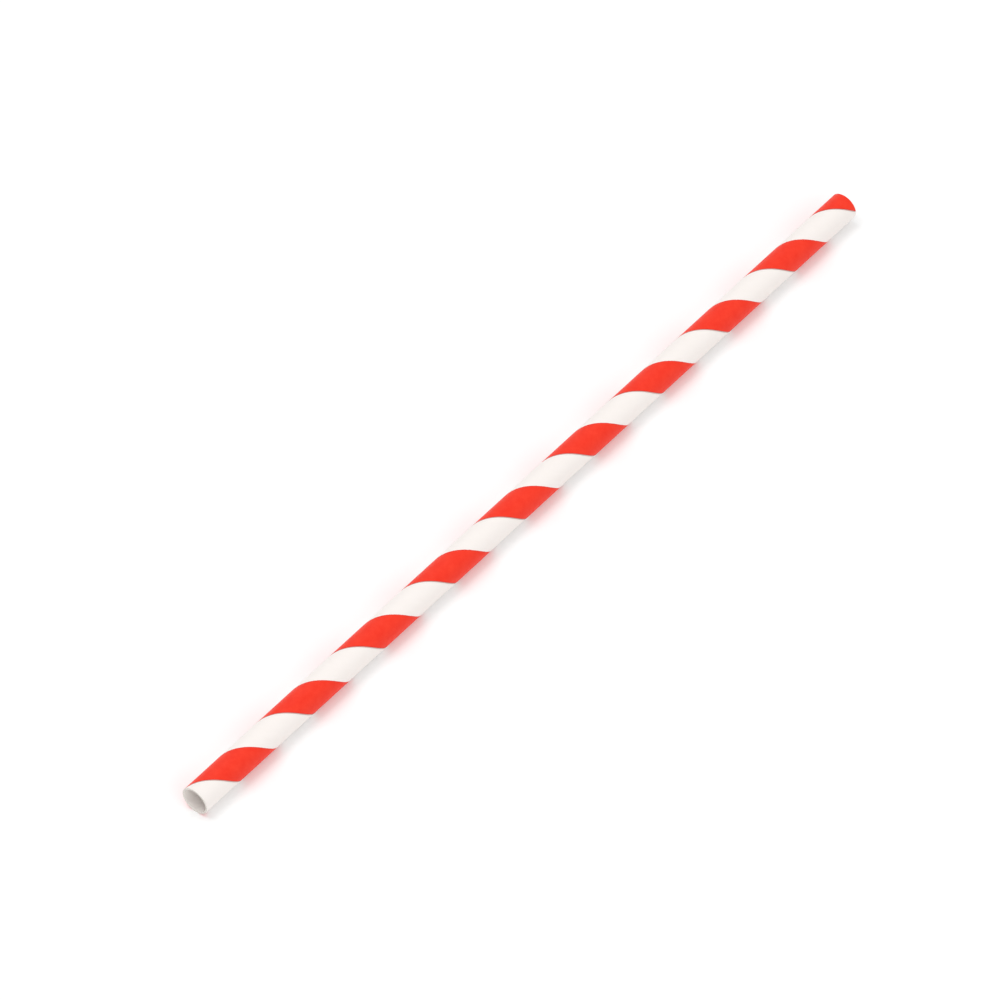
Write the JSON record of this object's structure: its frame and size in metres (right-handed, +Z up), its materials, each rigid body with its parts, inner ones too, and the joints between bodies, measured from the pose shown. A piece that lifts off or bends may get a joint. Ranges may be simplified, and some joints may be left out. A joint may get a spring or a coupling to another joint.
{
  "type": "paper drinking straw",
  "caption": "Straight spiral-wound paper drinking straw, an open thin-walled tube with a red and white helical stripe, cut square at both ends.",
  "frame": {"origin": "on the surface the straw lies on, under the middle of its length", "axes": "+X along the straw, +Z up from the surface it lies on; the winding is right-handed about +X"},
  "size_m": [0.197, 0.006, 0.006],
  "materials": {
    "printed_paper": "satin printed paper, bare paper in the bore"
  },
  "bodies": {
    "root": {"paper_straw": "printed_paper"}
  },
  "joints": []
}
